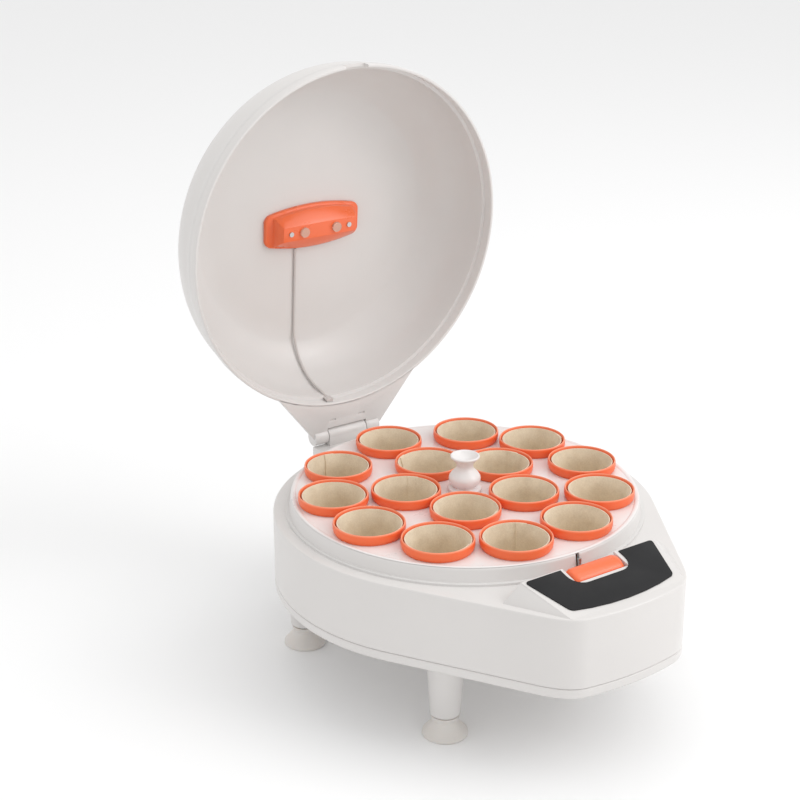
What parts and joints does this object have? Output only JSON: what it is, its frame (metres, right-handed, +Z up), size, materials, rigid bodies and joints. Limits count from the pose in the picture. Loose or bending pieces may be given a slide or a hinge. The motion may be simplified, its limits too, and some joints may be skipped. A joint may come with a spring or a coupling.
{
  "type": "carousel cup dryer",
  "caption": "Round bench dryer with a hinged domed lid, a turning plate of lined cups, a lid lamp and a latch button, on suction feet.",
  "frame": {"origin": "on the bench, below the drum axis", "axes": "+Z up along the drum axis, -Y towards the control panel"},
  "size_m": [0.286, 0.4145, 0.4311],
  "materials": {
    "white_shell": "moulded white plastic, satin gloss",
    "white_plate": "moulded white plastic, gloss",
    "foot_rubber": "pale grey soft rubber",
    "seal_grey": "pale grey seal",
    "orange_cup": "orange plastic with a soft gloss",
    "liner_card": "rolled beige liner sheet",
    "orange_gloss": "orange plastic, gloss",
    "panel_black": "matt black overlay",
    "steel": "plated steel",
    "chamber_metal": "pressed aluminium",
    "board_green": "circuit board",
    "lens_clear": "clear lens",
    "wire_grey": "grey sleeving",
    "inlet_black": "black socket insert"
  },
  "bodies": {
    "base": {"upper_housing": "white_shell", "base_pan": "white_shell", "suction_foot_1": "foot_rubber", "suction_foot_2": "foot_rubber", "suction_foot_3": "foot_rubber", "suction_foot_4": "foot_rubber", "seal_ring": "seal_grey", "chamber_pan": "chamber_metal", "heater_ring": "chamber_metal", "drive_motor": "chamber_metal", "control_board": "board_green", "base_screws": "steel", "power_inlet": "inlet_black", "panel_overlay": "panel_black", "hinge_pin": "steel", "latch_pin": "steel"},
    "carousel": {"carousel_plate": "white_plate", "lift_knob": "white_plate", "spindle": "steel", "cup_1": "orange_cup", "cup_2": "orange_cup", "cup_3": "orange_cup", "cup_4": "orange_cup", "cup_5": "orange_cup", "cup_6": "orange_cup", "cup_7": "orange_cup", "cup_8": "orange_cup", "cup_9": "orange_cup", "cup_10": "orange_cup", "cup_11": "orange_cup", "cup_12": "orange_cup", "cup_13": "orange_cup", "cup_14": "orange_cup", "cup_15": "orange_cup", "cup_16": "orange_cup", "liner_1": "liner_card", "liner_2": "liner_card", "liner_3": "liner_card", "liner_4": "liner_card", "liner_5": "liner_card", "liner_6": "liner_card", "liner_7": "liner_card", "liner_8": "liner_card", "liner_9": "liner_card", "liner_10": "liner_card", "liner_11": "liner_card", "liner_12": "liner_card", "liner_13": "liner_card", "liner_14": "liner_card", "liner_15": "liner_card", "liner_16": "liner_card"},
    "lid": {"lid_shell": "white_shell", "wire_clip": "wire_grey", "lid_wire": "wire_grey", "lamp_housing": "orange_gloss", "lamp_lenses": "lens_clear", "lamp_screws": "steel"},
    "latch": {"latch_button": "orange_gloss", "latch_hook": "steel"}
  },
  "joints": [
    {"name": "lid_hinge", "type": "hinge", "parent": "base", "child": "lid", "pos_m": [0, 0.165, 0.1285], "axis": [1, 0, 0], "range_deg": [0, 86]},
    {"name": "carousel_spin", "type": "hinge", "parent": "base", "child": "carousel", "pos_m": [0, 0, 0.1], "axis": [0, 0, 1], "continuous": true},
    {"name": "latch_press", "type": "hinge", "parent": "base", "child": "latch", "pos_m": [0, -0.151, 0.12], "axis": [1, 0, 0], "range_deg": [-6, 0], "stiffness_Nm_per_rad": 0.6, "springref_deg": 5.73}
  ]
}
